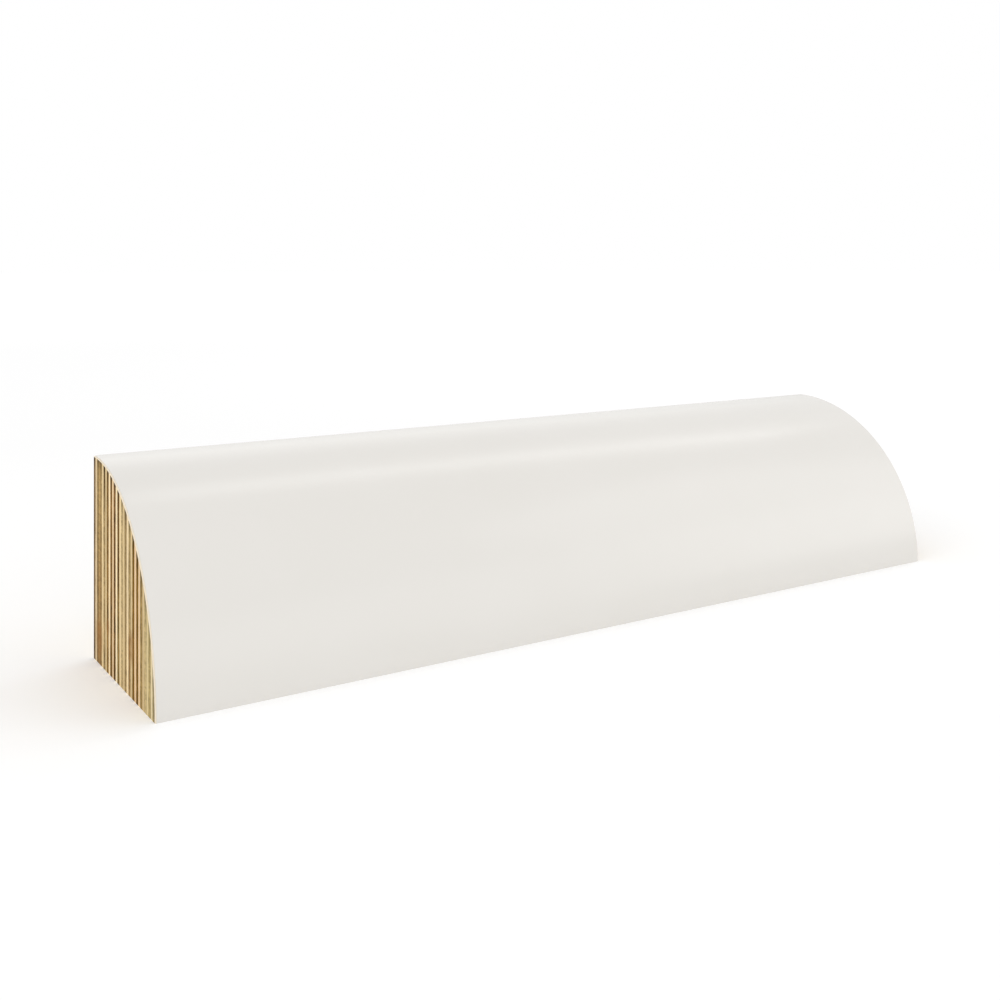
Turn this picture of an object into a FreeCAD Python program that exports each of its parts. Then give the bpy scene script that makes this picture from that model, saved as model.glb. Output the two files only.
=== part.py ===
"""Quarter round moulding: a short stick of laminated veneer, milled to a quarter circle and painted.

The section is one quarter of a circle. The centre of that circle is the back bottom corner, where a
wall meets a floor. The back face and the bottom face are bare wood, and only the curve is painted.
The veneers stand upright, parallel to the back face, and the grain turns a right angle from each
one to the next.

Frame: X runs along the moulding, +Y points into the wall behind it, and Z is up.
The origin is the centre of the bottom face's length and depth.
"""
import FreeCAD, Part
import math
import os

# Driving dimensions, in millimetres
section_radius = 19.05          # finished height and depth, a 3/4 in quarter round
stock_length = 95.25            # 3 3/4 in, sawn square at both ends
coat_thickness = 0.15           # primer and enamel, built up on the curve
veneer_thickness = 0.575        # one ordinary peeled veneer
heavy_veneer_thickness = 1.70   # the one heavier veneer
least_front_veneer = 0.25       # a thinner remnant at the front stays with the veneer behind it

# The heavier veneer's place in the stack, counted from the back face
heavy_veneer_number = 3

wood_radius = section_radius - coat_thickness
left_end_x = -stock_length / 2
back_face_y = section_radius / 2


def milled_stock(radius):
    """The whole stock, milled to a quarter circle of this radius about its back bottom corner."""
    corner = FreeCAD.Vector(left_end_x, back_face_y, 0)
    top = corner + FreeCAD.Vector(0, 0, radius)
    front = corner + FreeCAD.Vector(0, -radius, 0)
    halfway = math.pi / 4
    middle = corner + FreeCAD.Vector(0, -radius * math.sin(halfway), radius * math.cos(halfway))
    section = Part.Wire([
        Part.LineSegment(corner, top).toShape(),
        Part.Arc(top, middle, front).toShape(),
        Part.LineSegment(front, corner).toShape(),
    ])
    return Part.Face(section).extrude(FreeCAD.Vector(stock_length, 0, 0))


def veneer_depths():
    """The back and front depth of each veneer, from the back face until the wood is used up."""
    depths = []
    back = 0.0
    while back < wood_radius:
        is_heavy = len(depths) + 1 == heavy_veneer_number
        front = back + (heavy_veneer_thickness if is_heavy else veneer_thickness)
        if front + least_front_veneer > wood_radius:
            front = wood_radius
        depths.append((back, front))
        back = front
    return depths


def milled_veneer(back, front, wood):
    """One upright veneer of the glued stack, taller than the wood until the curve is milled."""
    lowest_corner = FreeCAD.Vector(left_end_x, back_face_y - front, 0)
    sheet = Part.makeBox(stock_length, front - back, section_radius, lowest_corner)
    return sheet.common(wood).Solids[0]


def veneer_name(number):
    """Odd veneers have their grain along the moulding, and even ones have it upright."""
    grain = "long_grain" if number % 2 else "cross_grain"
    return f"veneer_{number:02d}_{grain}"


def paint_coat(wood):
    """The paint on the curve: even in thickness, and flush with the back face and the bottom face."""
    return milled_stock(section_radius).cut(wood).Solids[0]


os.makedirs("parts", exist_ok=True)
milled_wood = milled_stock(wood_radius)
*standing_veneers, front_edge = veneer_depths()
for number, (back, front) in enumerate(standing_veneers, start=1):
    milled_veneer(back, front, milled_wood).exportStep(f"parts/{veneer_name(number)}.step")

# The curve leaves the foremost veneer as a low strip with a sharp upper edge
milled_veneer(*front_edge, milled_wood).exportStep("parts/front_edge_veneer.step")
paint_coat(milled_wood).exportStep("parts/paint_coat.step")
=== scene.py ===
"""A short stick of quarter round moulding: glued veneers, primer and enamel, on a white studio floor."""
import math

import bmesh
import bpy
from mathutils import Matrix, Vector


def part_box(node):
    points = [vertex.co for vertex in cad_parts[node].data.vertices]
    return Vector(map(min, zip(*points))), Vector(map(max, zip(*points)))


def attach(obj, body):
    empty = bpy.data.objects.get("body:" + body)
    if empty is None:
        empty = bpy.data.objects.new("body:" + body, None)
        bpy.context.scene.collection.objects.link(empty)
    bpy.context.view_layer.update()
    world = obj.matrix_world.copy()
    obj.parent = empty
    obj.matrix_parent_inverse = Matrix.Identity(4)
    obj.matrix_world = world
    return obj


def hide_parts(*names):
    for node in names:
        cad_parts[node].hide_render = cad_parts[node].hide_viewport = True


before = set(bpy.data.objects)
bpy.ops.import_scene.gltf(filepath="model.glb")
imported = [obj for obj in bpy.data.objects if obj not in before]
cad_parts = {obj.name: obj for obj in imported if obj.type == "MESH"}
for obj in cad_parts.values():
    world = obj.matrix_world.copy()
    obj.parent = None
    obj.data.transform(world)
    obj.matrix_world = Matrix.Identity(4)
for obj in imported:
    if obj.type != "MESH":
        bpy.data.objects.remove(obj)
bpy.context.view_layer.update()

# The camera
# It stands off the moulding's left end, about two heights above the floor, and looks level.
# The frame is shifted down instead of the camera being tilted, so upright edges stay upright.
camera_place = (-0.07653, -0.10464, 0.03715)
camera_azimuth = math.radians(33.12)
lens_mm = 42.678
film_width_mm = 36
frame_shift_down = 0.2373       # of the frame's width
nearest_seen = 0.001            # m

bpy.ops.object.camera_add(location=camera_place, rotation=(math.pi / 2, 0, -camera_azimuth))
camera = bpy.context.object
camera.name = "camera"
camera.data.sensor_fit = "HORIZONTAL"
camera.data.sensor_width = film_width_mm
camera.data.lens = lens_mm
camera.data.shift_y = -frame_shift_down
camera.data.clip_start = nearest_seen
bpy.context.scene.camera = camera


# The veneers
# Sheets peeled from a log and glued face to face, with the grain turned a right angle from each to
# the next. Those with their grain along the moulding show brown, open end grain where they are
# sawn, and those with upright grain show pale side grain there. Underneath it is the other way round.
millimetre = 0.001
per_metre = 1000
ring_width = 0.85               # mm, between growth rings, across the sheet
ring_wander = 3.4               # mm, how far the rings wander in and out of a sheet
heavy_sheet_least = 1.0         # mm, the thickness from which a sheet takes in whole rings
heavy_ring_width = 0.98         # mm, between the two dark rings in the heavy sheet
heavy_ring_wander = 0.5         # mm
heavy_pale_depth = 2.02         # mm from the back to the pale wood between them
heavy_darkening = 0.10          # per mm towards the back
fibre_length = 7.0              # mm
fibre_width = 0.16              # mm, real vessels are half as wide and wouldn't show
check_spacing = 0.22            # mm, between the fine cracks that the peeling knife opens
check_depth = 1.2               # mm, more than a sheet, so that most cracks go right through it
spot_length = 3.0               # mm, of a dark knot or a bark pocket along the grain
spot_width = 0.9                # mm
spot_darkness = 0.6             # how much darker than its sheet a spot of full strength is
dark_patch = 0.30               # how much darker than its tone a sheet is where it is darkest
light_patch = 0.12              # and how much lighter where it is lightest
strawed_patch = 0.05            # how far its lightest places turn to plain straw
tone_turn = 2.5                 # mm of height in which a sheet's upper tone turns to its lower one
tone_waver = 1.4                # of the whole turn, how far it wavers up and down along the sheet
darker_band_depth = 1.2             # mm of wood under the curve that is darker
darker_band_shade = 0.5             # of the wood's own tone, at the curve itself
glue_line_width = 0.04          # mm, the half of a glue line that shows on each veneer
glue_seep = 0.40                # mm, how far the line wavers as glue seeps into the wood
glue_cover = 0.45               # how far the glue hides the wood
glue_tone = "5A3D1E"
stain_length = 14.0             # times as far along the moulding as through the sheets
stain_height = 1.7              # times as far upwards as through the sheets
stain_core = 0.3                # of its reach, where a stain is at its deepest
saw_mark_pitch = 0.42           # mm, between the marks that a saw's teeth leave
saw_mark_share = 0.12           # of the fibres' own relief
saw_centre = (40.0, -110.0)     # mm, the blade's centre in Y and Z as it cut an end
relief_depth = 0.06             # mm
sheet_step = 3.7                # mm, how far on in the noise each sheet lies, so that no two match
patch_step = 4.1                # mm, the same for the patches

# Resin pockets stained the sheets round them russet: depth from the back, height and reach, in mm
resin_pockets = ((1.95, 2.5, 1.5), (4.9, 4.2, 0.6), (12.15, 4.3, 1.05))
resin_tone = "A0703D"

# Each end-grain tone has its colour at the top, its colour at the foot, the height in mm where one
# turns to the other, how dark its spots are, and how patchy it is
end_tones = {
    "driftwood": ("7A603E", "786042", 9, 0.3, 1.2),
    "honey": ("C2A169", "B08E5B", 10.5, 0.25, 0.35),
    "dark_topped": ("785A2E", "BC9E6A", 15.5, 0.4, 1.3),
    "chestnut": ("8A6222", "8A6424", 6, 0.4, 1.3),
    "walnut": ("80591C", "825D20", 6, 0.4, 1.3),
    "umber": ("704606", "734B08", 6, 0.7, 1.6),
    "two_tone": ("67440C", "967C44", 7, 0.35, 0.9),
    "tan": ("C8AF7E", "C2A97A", 9, 0.15, 0.45),
    "flax": ("D1BB87", "CDB683", 9, 0.2, 0.4),
    "oat": ("A2885A", "9F8658", 9, 0.25, 0.6),
    "russet": ("B09866", "9A7444", 6, 0.4, 0.5),
    "sienna": ("7B5811", "7B5610", 8, 0.35, 0.8),
    "slate": ("A68A55", "A68A55", 8, 0.5, 0.6),
    "moss": ("CBB57A", "C7AF76", 8, 0.3, 0.8),
}
# Each side-grain tone is a light and a dark streak's colour
side_tones = {
    "biscuit": ("ECD4AB", "E0C69B"),
    "straw": ("F9E0B0", "EFD4A0"),
    "wheat": ("E1C99A", "D5BB8A"),
    "cream": ("FFEFC9", "FFE3B3"),
    "peach": ("F9D8AC", "F0CC9C"),
    "maple": ("EFD1A5", "E4C497"),
    "vanilla": ("FFEAC0", "FFDEAA"),
    "linen": ("E1CE9E", "D5C08E"),
    "flour": ("EDDCB1", "E1CEA1"),
}
long_grain_order = (
    "driftwood", "honey", "dark_topped", "chestnut", "walnut", "umber", "two_tone", "tan",
    "oat", "russet", "sienna", "sienna", "slate", "flax", "moss", "flax",
)
cross_grain_order = (
    "biscuit", "straw", "wheat", "vanilla", "maple", "cream", "straw", "wheat",
    "vanilla", "wheat", "peach", "maple", "wheat", "linen", "flour",
)
# Underneath, the sheets with upright grain show end grain, in these tones over and over, and the
# back and the bottom show the side grain of the others in one tone
underside_tones = ("oat", "chestnut", "tan", "russet", "walnut", "moss", "slate")
long_grain_side_tone = "straw"


def linear(hex_colour):
    """An sRGB hex colour as the linear RGBA that a shader takes."""
    channels = [int(hex_colour[i:i + 2], 16) / 255 for i in (0, 2, 4)]
    return [c / 12.92 if c <= 0.04045 else ((c + 0.055) / 1.055) ** 2.4 for c in channels] + [1]


def feed(owner, node, inputs):
    """Gives each input a number, a colour, a socket, or the first live output of another node."""
    for socket, value in inputs.items():
        if isinstance(value, bpy.types.Node):
            value = next(output for output in value.outputs if output.enabled)
        if isinstance(value, bpy.types.NodeSocket):
            owner.node_tree.links.new(value, node.inputs[socket])
        else:
            node.inputs[socket].default_value = value


def add_node(owner, kind, inputs, **settings):
    """Adds a shader node to a material or a world, with its settings and its inputs."""
    node = owner.node_tree.nodes.new("ShaderNode" + kind)
    for name, value in settings.items():
        setattr(node, name, value)
    feed(owner, node, inputs)
    return node


def stretched_noise(wood, position, sizes, shift, detail):
    """Noise of about 0.3 to 0.7, whose lumps measure these millimetres along X, Y and Z."""
    moved = add_node(wood, "VectorMath", {0: position, 1: shift}, operation="ADD")
    scaled = add_node(wood, "VectorMath", {0: moved, 1: sizes}, operation="DIVIDE")
    return add_node(wood, "TexNoise", {"Vector": scaled, "Scale": 1.0, "Detail": detail, "Roughness": 0.55})


def distance_from_line(wood, position, line_y, line_z):
    """How far each place is from a line that runs along the moulding."""
    from_line = add_node(wood, "VectorMath", {0: position, 1: (0, line_y, line_z)}, operation="SUBTRACT")
    in_section = add_node(wood, "VectorMath", {0: from_line, 1: (0, 1, 1)}, operation="MULTIPLY")
    return add_node(wood, "VectorMath", {0: in_section}, operation="LENGTH")


def thin_sheet_rings(wood, position, depth, sizes_along, seed):
    """Light and dark from growth rings, which lie nearly flat in a thin sheet, as a factor around 1."""
    wander = stretched_noise(wood, position, sizes_along(38, 30, 7), (3.0, seed * sheet_step, 5.7), 1.5)
    depth_in_log = add_node(wood, "Math", {0: wander, 1: ring_wander, 2: depth}, operation="MULTIPLY_ADD")
    rings = add_node(wood, "Math", {0: depth_in_log, 1: ring_width}, operation="DIVIDE")
    ring = add_node(wood, "Math", {0: rings}, operation="FRACT")
    # Each ring darkens from its early wood to its late wood
    return add_node(wood, "MapRange", {"Value": ring, "From Min": 0.35, "From Max": 0.95,
                                       "To Min": 1.05, "To Max": 0.92}, interpolation_type="SMOOTHSTEP")


def heavy_sheet_rings(wood, position, depth):
    """Light and dark from the heavy sheet's whole rings, which stand as upright strands on its end."""
    wander = stretched_noise(wood, position, (38, 30, 9), (2.0, 6.0, 13.0), 2.0)
    depth_in_log = add_node(wood, "Math", {0: wander, 1: heavy_ring_wander, 2: depth},
                            operation="MULTIPLY_ADD")
    palest = back_face_y / millimetre - heavy_pale_depth + heavy_ring_wander / 2
    from_palest = add_node(wood, "Math", {0: depth_in_log, 1: palest}, operation="SUBTRACT")
    # The wave is at its top in the palest wood, and at the foot of its dips in the two dark rings
    turns = add_node(wood, "Math", {0: from_palest, 1: math.tau / heavy_ring_width}, operation="MULTIPLY")
    wave = add_node(wood, "Math", {0: turns}, operation="COSINE")
    strand = add_node(wood, "MapRange", {"Value": wave, "From Min": -1.0, "To Min": 0.62, "To Max": 1.12})
    return add_node(wood, "Math", {0: from_palest, 1: -heavy_darkening, 2: strand},
                    operation="MULTIPLY_ADD")


def fibre_streaks(wood, position, sizes_along, seed):
    """Light and dark from fibres, as a factor around 1: streaks along the grain, and pores across it."""
    fibres = stretched_noise(wood, position, sizes_along(fibre_length, fibre_width, fibre_width),
                             (0.0, seed * sheet_step, 0.0), 3.0)
    return add_node(wood, "MapRange", {"Value": fibres, "From Min": 0.28, "From Max": 0.72,
                                       "To Min": 0.82, "To Max": 1.22})


def end_grain_colour(wood, position, height, sizes_along, tone, seed):
    """A sheet's colour where its fibres are cut across: patchy, cracked, spotted and darker just under the
    curve.
    """
    top_colour, foot_colour, turn_height, spot_strength, patchiness = tone
    lowered = add_node(wood, "MapRange", {"Value": height, "From Min": turn_height + tone_turn,
                                          "From Max": turn_height - tone_turn})
    drift = stretched_noise(wood, position, sizes_along(24, 40, 5), (11.0, seed * sheet_step, 20.9), 2.0)
    swing = add_node(wood, "Math", {0: drift, 1: tone_waver, 2: -tone_waver / 2},
                     operation="MULTIPLY_ADD")
    drifted = add_node(wood, "Math", {0: lowered, 1: swing}, operation="ADD", use_clamp=True)
    colour = add_node(wood, "Mix", {"Factor": drifted, "A": linear(top_colour), "B": linear(foot_colour)},
                      data_type="RGBA")
    patches = stretched_noise(wood, position, sizes_along(30, 8, 2.2), (7.0, seed * patch_step, 15.0), 3.0)
    patch = add_node(wood, "MapRange", {"Value": patches, "From Min": 0.33, "From Max": 0.67})
    # A dark patch is the same wood darker, and a light patch is also nearer to plain straw
    dark_wood = add_node(wood, "VectorMath", {0: colour, "Scale": 1 - dark_patch * patchiness},
                         operation="SCALE")
    strawed = add_node(wood, "Mix", {"Factor": strawed_patch * patchiness, "A": colour,
                                     "B": linear("D8BC8C")}, data_type="RGBA")
    light_wood = add_node(wood, "VectorMath", {0: strawed, "Scale": 1 + light_patch * patchiness},
                          operation="SCALE")
    patched = add_node(wood, "Mix", {"Factor": patch, "A": dark_wood, "B": light_wood}, data_type="RGBA")
    # Lathe checks are fine cracks through the sheet, along its grain
    checks = stretched_noise(wood, position, sizes_along(fibre_length, check_depth, check_spacing),
                             (9.0, seed * sheet_step, 4.0), 2.0)
    check_shade = add_node(wood, "MapRange", {"Value": checks, "From Min": 0.42, "From Max": 0.68,
                                              "To Min": 1.08, "To Max": 0.82})
    spots = stretched_noise(wood, position, sizes_along(spot_length, spot_width, spot_width),
                            (6.0, seed * sheet_step, 31.0), 2.0)
    spot_shade = add_node(wood, "MapRange", {"Value": spots, "From Min": 0.54, "From Max": 0.66,
                                             "To Min": 1.0,
                                             "To Max": 1.0 - spot_strength * spot_darkness})
    # The wood turns darker just under the curve, most of all at the curve itself
    radius = distance_from_line(wood, position, back_face_y / millimetre, 0)
    curve_radius = wood_radius / millimetre
    under_curve_darkening = add_node(wood, "MapRange", {"Value": radius, "From Min": curve_radius - darker_band_depth,
                                          "From Max": curve_radius, "To Min": 1.0,
                                          "To Max": darker_band_shade})
    shade = check_shade
    for factor in (spot_shade, under_curve_darkening):
        shade = add_node(wood, "Math", {0: shade, 1: factor}, operation="MULTIPLY")
    return add_node(wood, "VectorMath", {0: patched, "Scale": shade}, operation="SCALE")


def russet_stain(wood, position):
    """How deeply each place is stained by the resin pockets near the left end, from 0 to 1."""
    ragged = stretched_noise(wood, position, (9.0, 1.3, 1.3), (1.0, 2.0, 3.0), 2.0)
    raggedness = add_node(wood, "MapRange", {"Value": ragged, "From Min": 0.30, "From Max": 0.58,
                                             "To Min": 0.4, "To Max": 0.75})
    deepest = 0.0
    for depth, height, reach in resin_pockets:
        pocket = (left_end_x / millimetre, back_face_y / millimetre - depth, height)
        from_pocket = add_node(wood, "VectorMath", {0: position, 1: pocket}, operation="SUBTRACT")
        squeezed = add_node(wood, "VectorMath", {0: from_pocket, 1: (stain_length, 1, stain_height)},
                            operation="DIVIDE")
        distance = add_node(wood, "VectorMath", {0: squeezed}, operation="LENGTH")
        nearness = add_node(wood, "MapRange", {"Value": distance.outputs["Value"], "From Min": reach,
                                               "From Max": reach * stain_core})
        deepest = add_node(wood, "Math", {0: nearness, 1: deepest}, operation="MAXIMUM")
    return add_node(wood, "Math", {0: deepest, 1: raggedness}, operation="MULTIPLY")


def glue_line(wood, position, depth, faces, back_y, front_y):
    """How much brown glue shows along each side of the sheet, on every face but its own flat ones."""
    middle_y = (back_y + front_y) / 2 / millimetre
    half_sheet = (back_y - front_y) / 2 / millimetre
    from_middle = add_node(wood, "Math", {0: depth, 1: middle_y}, operation="SUBTRACT")
    distance = add_node(wood, "Math", {0: from_middle}, operation="ABSOLUTE")
    seep = stretched_noise(wood, position, (1.1, 1.1, 1.1), (5.0, 5.0, 5.0), 2.0)
    wavering = add_node(wood, "Math", {0: seep, 1: glue_seep, 2: distance}, operation="MULTIPLY_ADD")
    line = add_node(wood, "MapRange", {"Value": wavering,
                                       "From Min": half_sheet - glue_line_width + glue_seep / 2,
                                       "From Max": half_sheet + glue_seep / 2, "To Max": glue_cover})
    cut_face = add_node(wood, "Math", {0: 1.0, 1: faces.outputs["Y"]}, operation="SUBTRACT", use_clamp=True)
    return add_node(wood, "Math", {0: line, 1: cut_face}, operation="MULTIPLY")


def saw_marks(wood, position, faces):
    """The shallow arcs that a circular saw's teeth leave on the ends."""
    radius = distance_from_line(wood, position, *saw_centre)
    turns = add_node(wood, "Math", {0: radius, 1: math.tau / saw_mark_pitch}, operation="MULTIPLY")
    mark = add_node(wood, "Math", {0: turns}, operation="SINE")
    return add_node(wood, "Math", {0: mark, 1: faces.outputs["X"]}, operation="MULTIPLY")


def peeled_veneer(name, fibre_axis, end_tone, side_tone, back_y, front_y, seed):
    """Bare peeled veneer, dull all over. End grain is dark and pricked with pores, side grain is pale."""
    wood = bpy.data.materials.new(name)
    wood.use_nodes = True
    place = add_node(wood, "TexCoord", {})
    position = add_node(wood, "VectorMath", {0: place.outputs["Object"], "Scale": per_metre},
                        operation="SCALE")
    split = add_node(wood, "SeparateXYZ", {0: position})
    facing = add_node(wood, "VectorMath", {0: place.outputs["Normal"]}, operation="ABSOLUTE")
    faces = add_node(wood, "SeparateXYZ", {0: facing})

    def sizes_along(along, through, across):
        return (along, through, across) if fibre_axis == "X" else (across, through, along)

    if back_y - front_y > heavy_sheet_least * millimetre:
        rings = heavy_sheet_rings(wood, position, split.outputs["Y"])
    else:
        rings = thin_sheet_rings(wood, position, split.outputs["Y"], sizes_along, seed)
    fibres = fibre_streaks(wood, position, sizes_along, seed)
    end_colour = end_grain_colour(wood, position, split.outputs["Z"], sizes_along, end_tone, seed)
    streaks = stretched_noise(wood, position, sizes_along(24, 1.5, 1.5),
                              (17.0, seed * sheet_step, 8.0), 2.0)
    side_colour = add_node(wood, "Mix", {"Factor": streaks, "A": linear(side_tone[0]),
                                         "B": linear(side_tone[1])}, data_type="RGBA")
    tone = add_node(wood, "Mix", {"Factor": faces.outputs[fibre_axis], "A": side_colour, "B": end_colour},
                    data_type="RGBA")
    shade = add_node(wood, "Math", {0: rings, 1: fibres}, operation="MULTIPLY")
    grained = add_node(wood, "VectorMath", {0: tone, "Scale": shade}, operation="SCALE")
    stain = russet_stain(wood, position)
    stained = add_node(wood, "Mix", {"Factor": stain, "A": grained, "B": linear(resin_tone)},
                       data_type="RGBA")
    glue = glue_line(wood, position, split.outputs["Y"], faces, back_y, front_y)
    colour = add_node(wood, "Mix", {"Factor": glue, "A": stained, "B": linear(glue_tone)},
                      data_type="RGBA")

    marks = saw_marks(wood, position, faces)
    relief = add_node(wood, "Math", {0: marks, 1: saw_mark_share, 2: fibres}, operation="MULTIPLY_ADD")
    bump = add_node(wood, "Bump", {"Height": relief, "Strength": 0.5,
                                   "Distance": relief_depth * millimetre})
    feed(wood, wood.node_tree.nodes["Principled BSDF"], {
        "Base Color": colour,
        "Roughness": 0.85,
        "IOR": 1.5,
        "Specular IOR Level": 0.06,
        "Normal": bump,
    })
    return wood


back_face_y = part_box("veneer_01_long_grain")[1].y
left_end_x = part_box("veneer_01_long_grain")[0].x
wood_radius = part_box("veneer_01_long_grain")[1].z
long_grain_nodes = sorted(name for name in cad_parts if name.endswith("long_grain"))
long_grain_nodes.append("front_edge_veneer")
cross_grain_nodes = sorted(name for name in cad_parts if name.endswith("cross_grain"))

for fibre_axis, node_names, order in (("X", long_grain_nodes, long_grain_order),
                                      ("Z", cross_grain_nodes, cross_grain_order)):
    for seed, (node_name, tone_name) in enumerate(zip(node_names, order, strict=True)):
        underside_tone = underside_tones[seed % len(underside_tones)]
        end_tone = end_tones[tone_name if fibre_axis == "X" else underside_tone]
        side_tone = side_tones[tone_name if fibre_axis == "Z" else long_grain_side_tone]
        lowest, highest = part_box(node_name)
        material = peeled_veneer(f"peeled_veneer_{tone_name}_{node_name}", fibre_axis, end_tone, side_tone,
                                 highest.y, lowest.y, seed)
        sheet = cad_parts[node_name]
        sheet.data.materials.clear()
        sheet.data.materials.append(material)


# The primer
# A chalky cream sanding primer sprayed on the milled curve. The enamel covers it, but for a thin
# line round the curve at the left end, where the saw cut in through the coat and flaked it back.
moulding_low, moulding_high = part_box("paint_coat")
section_radius = moulding_high.z
enamel_thickness = 0.06 * millimetre
primer_radius = section_radius - enamel_thickness
curve_steps = 96
same_place = 1e-6               # m, vertices nearer than this to a cut lie on it
weld_distance = 1e-7            # m
flat_enough = math.radians(15)  # an edge flatter than this is shaded smooth
mottle_size = 1 / 3             # mm


def spun_coat(name, inner_radius, outer_radius, left_x, right_x, ease):
    """A layer of even thickness on the curve, spun from a thin flat strip and eased off at its ends.

    The ease pairs each distance from an end with how far the layer's outside has sunk there.
    """
    bpy.ops.object.select_all(action="DESELECT")
    mid_radius = (inner_radius + outer_radius) / 2
    middle = ((left_x + right_x) / 2, moulding_high.y, mid_radius)
    bpy.ops.mesh.primitive_plane_add(size=1, location=middle, rotation=(math.pi / 2, 0, 0))
    coat = bpy.context.object
    coat.name = name
    coat.scale = (right_x - left_x, outer_radius - inner_radius, 1)
    bpy.ops.object.transform_apply(location=True, rotation=True, scale=True)
    bpy.ops.object.mode_set(mode="EDIT")
    for distance, sink in ease:
        for cut_x in (left_x + distance, right_x - distance):
            bpy.ops.mesh.select_all(action="SELECT")
            bpy.ops.mesh.bisect(plane_co=(cut_x, 0, 0), plane_no=(1, 0, 0))
            bpy.ops.mesh.select_all(action="DESELECT")
            bpy.ops.mesh.select_mode(type="VERT")
            strip = bmesh.from_edit_mesh(coat.data)
            for vert in strip.verts:
                vert.select = abs(vert.co.x - cut_x) < same_place and vert.co.z > mid_radius
            bmesh.update_edit_mesh(coat.data)
            bpy.ops.transform.translate(value=(0, 0, -sink))

    # The strip turns about the back bottom corner, forwards and down to the floor
    bpy.ops.mesh.select_all(action="SELECT")
    bpy.ops.mesh.spin(steps=curve_steps, angle=math.pi / 2, center=(0, moulding_high.y, 0),
                      axis=(-1, 0, 0))
    bpy.ops.mesh.select_all(action="SELECT")
    bpy.ops.mesh.remove_doubles(threshold=weld_distance)
    bpy.ops.mesh.normals_make_consistent(inside=False)
    bpy.ops.object.mode_set(mode="OBJECT")
    bpy.ops.object.shade_smooth_by_angle(angle=flat_enough)
    return coat


# A sawn edge is never quite sharp, so the primer sinks a trace at its own
primer_ease = ((0.03 * millimetre, 0.0), (0.0, 0.005 * millimetre))
primer = spun_coat("primer_coat", wood_radius, primer_radius, moulding_low.x, moulding_high.x, primer_ease)
chalky = bpy.data.materials.new("sanding_primer")
chalky.use_nodes = True
place = add_node(chalky, "TexCoord", {})
mottle = add_node(chalky, "TexNoise", {"Vector": place.outputs["Object"],
                                       "Scale": per_metre / mottle_size, "Detail": 3.0})
colour = add_node(chalky, "Mix", {"Factor": mottle, "A": linear("F8ECD8"), "B": linear("F0E2CA")},
                  data_type="RGBA")
feed(chalky, chalky.node_tree.nodes["Principled BSDF"], {
    "Base Color": colour,
    "Roughness": 0.7,
    "IOR": 1.5,
})
primer.data.materials.append(chalky)
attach(primer, "root")
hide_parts("paint_coat")


# The enamel
# Warm off-white alkyd enamel, sprayed over the primer and left to level out. It dries to a satin
# film with a trace of orange peel, so lamps show in it as broad soft bands, and it is worn down to
# a soft rim at both ends.
chipped_back = 0.12 * millimetre    # how far the saw flaked the enamel off the primer at the left end
enamel_left_x = moulding_low.x + chipped_back
enamel_ease = (
    (0.26 * millimetre, 0.0),
    (0.17 * millimetre, 0.004 * millimetre),
    (0.08 * millimetre, 0.016 * millimetre),
    (0.0, 0.038 * millimetre),
)
orange_peel_size = 0.9      # mm
orange_peel_depth = 0.02    # mm
cloud_size = 100 / 9        # mm, of the faint clouds in its colour

enamel = spun_coat("enamel_coat", primer_radius, section_radius, enamel_left_x, moulding_high.x,
                   enamel_ease)
satin = bpy.data.materials.new("satin_alkyd_enamel")
satin.use_nodes = True
place = add_node(satin, "TexCoord", {})
scaled = add_node(satin, "VectorMath", {0: place.outputs["Object"], "Scale": per_metre / orange_peel_size},
                  operation="SCALE")
peel = add_node(satin, "TexNoise", {"Vector": scaled, "Scale": 1.0, "Detail": 2.0})
cloud = add_node(satin, "TexNoise", {"Vector": place.outputs["Object"],
                                     "Scale": per_metre / cloud_size, "Detail": 2.0})
colour = add_node(satin, "Mix", {"Factor": cloud, "A": linear("E9E6E1"), "B": linear("E6E3DD")},
                  data_type="RGBA")
bump = add_node(satin, "Bump", {"Height": peel, "Strength": 0.15,
                                "Distance": orange_peel_depth * millimetre})
feed(satin, satin.node_tree.nodes["Principled BSDF"], {
    "Base Color": colour,
    "Roughness": 0.25,
    "IOR": 1.5,
    "Normal": bump,
})
enamel.data.materials.append(satin)
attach(enamel, "root")
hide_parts("paint_coat")


# The floor
# A wide sheet of white card that takes the moulding's soft shadow. To the camera and in
# reflections it glows a little, and more the farther it runs from the moulding, so that it meets
# the white world without a line.
floor_size = 8          # m
glow_starts = 0.15      # m from the moulding's middle, where the glow begins to grow
glow_grown = 1.0        # m, where it has grown to its full strength
least_glow = 0.16
full_glow = 0.42


def seen_directly(owner):
    """1 for what the camera sees, also in a reflection or through glass, and 0 for the light it casts."""
    ray = add_node(owner, "LightPath", {})
    seen = add_node(owner, "Math", {0: ray.outputs["Is Camera Ray"], 1: ray.outputs["Is Glossy Ray"]},
                    operation="MAXIMUM")
    return add_node(owner, "Math", {0: seen, 1: ray.outputs["Is Transmission Ray"]}, operation="MAXIMUM")


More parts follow.
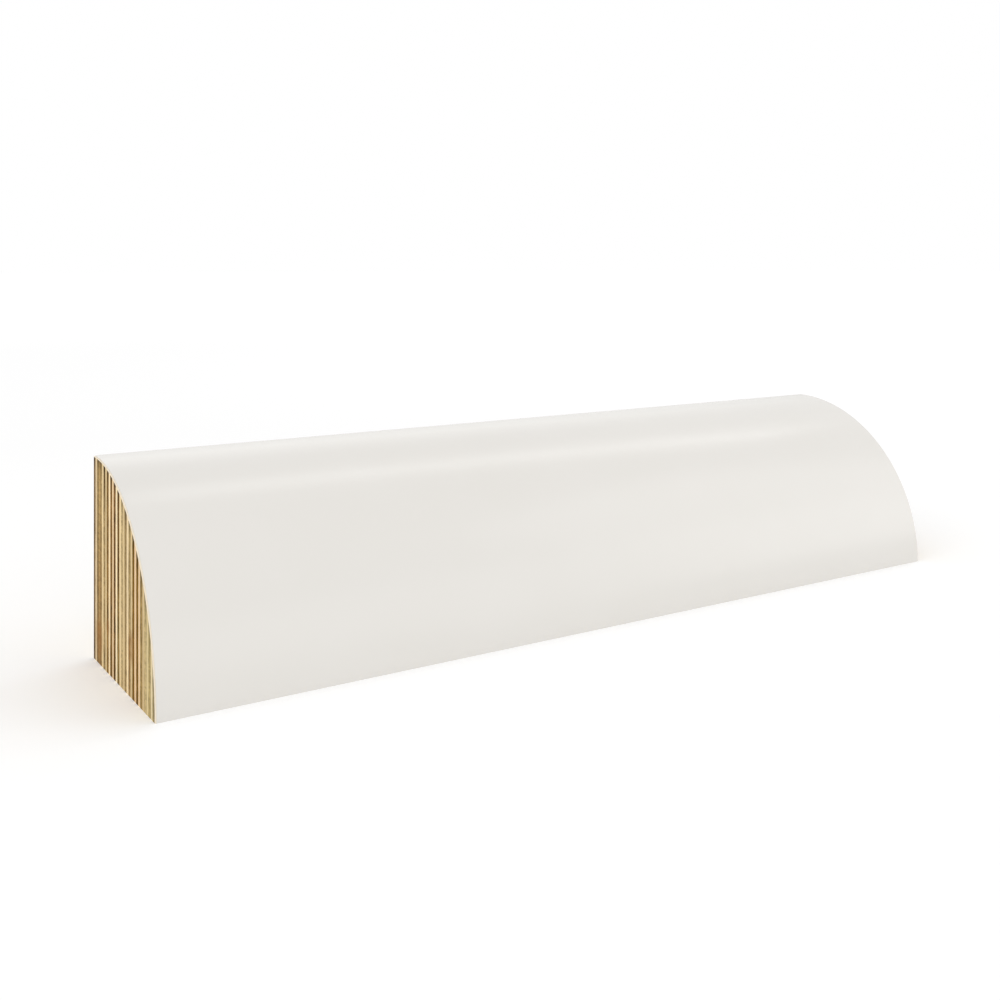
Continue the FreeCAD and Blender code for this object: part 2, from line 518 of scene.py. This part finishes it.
bpy.ops.object.select_all(action="DESELECT")
bpy.ops.mesh.primitive_plane_add(size=floor_size, location=(0, 0, 0))
floor = bpy.context.object
floor.name = "studio_floor"
card = bpy.data.materials.new("white_card")
card.use_nodes = True
place = add_node(card, "TexCoord", {})
distance = add_node(card, "VectorMath", {0: place.outputs["Object"]}, operation="LENGTH")
whitening = add_node(card, "MapRange", {"Value": distance.outputs["Value"], "From Min": glow_starts,
                                        "From Max": glow_grown, "To Min": least_glow,
                                        "To Max": full_glow})
glow = add_node(card, "Math", {0: seen_directly(card), 1: whitening}, operation="MULTIPLY")
feed(card, card.node_tree.nodes["Principled BSDF"], {
    "Base Color": linear("F7F7F7"),
    "Roughness": 0.9,
    "Specular IOR Level": 0.0,
    "Emission Color": linear("FFFFFF"),
    "Emission Strength": glow,
})
floor.data.materials.append(card)


# The white world
# Even white light from all sides, as between white walls. The camera and reflections see it as
# plain white, and it lights the moulding a little less than that.
light_on_moulding = 0.71    # of that white

world = bpy.data.worlds.new("white_studio")
bpy.context.scene.world = world
world.use_nodes = True
strength = add_node(world, "MapRange", {"Value": seen_directly(world), "To Min": light_on_moulding,
                                        "To Max": 1.0})
feed(world, world.node_tree.nodes["Background"], {"Color": linear("FFFFFF"), "Strength": strength})


# The lamps
# Soft boxes in a small studio: a long one over the back, whose reflection is the narrow bright line
# along the curve, a low one behind for the broad band above that line, a tall one at the right for
# the wide soft band there, and two more at the left and in front.
def soft_box(name, place, aim, width, height, brightness, spread=180):
    """A rectangular lamp that faces a point. At a brightness of 1 it looks as white as the world.

    A spread below 180 degrees is a grid in front of it, which dims it to whoever stands aside.
    """
    bpy.ops.object.light_add(type="AREA", location=place)
    lamp = bpy.context.object
    lamp.name = name
    lamp.data.shape = "RECTANGLE"
    lamp.data.size = width
    lamp.data.size_y = height
    lamp.data.energy = brightness * math.pi * width * height
    lamp.data.spread = math.radians(spread)
    direction = Vector(aim) - Vector(place)
    lamp.rotation_euler = direction.to_track_quat("-Z", "Y").to_euler()


soft_box("strip_over_back", (0.345, 0.155, 0.50), (0.345, 0.0, 0.0), 0.61, 0.06, 2.25)
soft_box("panel_behind", (0.35, 0.60, 0.385), (0.35, 0.0, 0.385), 0.90, 0.29, 0.30, 110)
soft_box("panel_at_right", (0.514, -0.31, 0.35), (-0.011, -0.02, 0.35), 0.40, 0.70, 0.72)
soft_box("panel_at_left", (-0.60, -0.20, 0.40), (0.0, 0.0, 0.0), 0.5, 0.5, 1.31)
soft_box("panel_in_front", (0.30, -0.80, 0.22), (0.0, 0.0, 0.22), 1.6, 0.44, 0.50)

bpy.context.scene.view_settings.view_transform = "Standard"
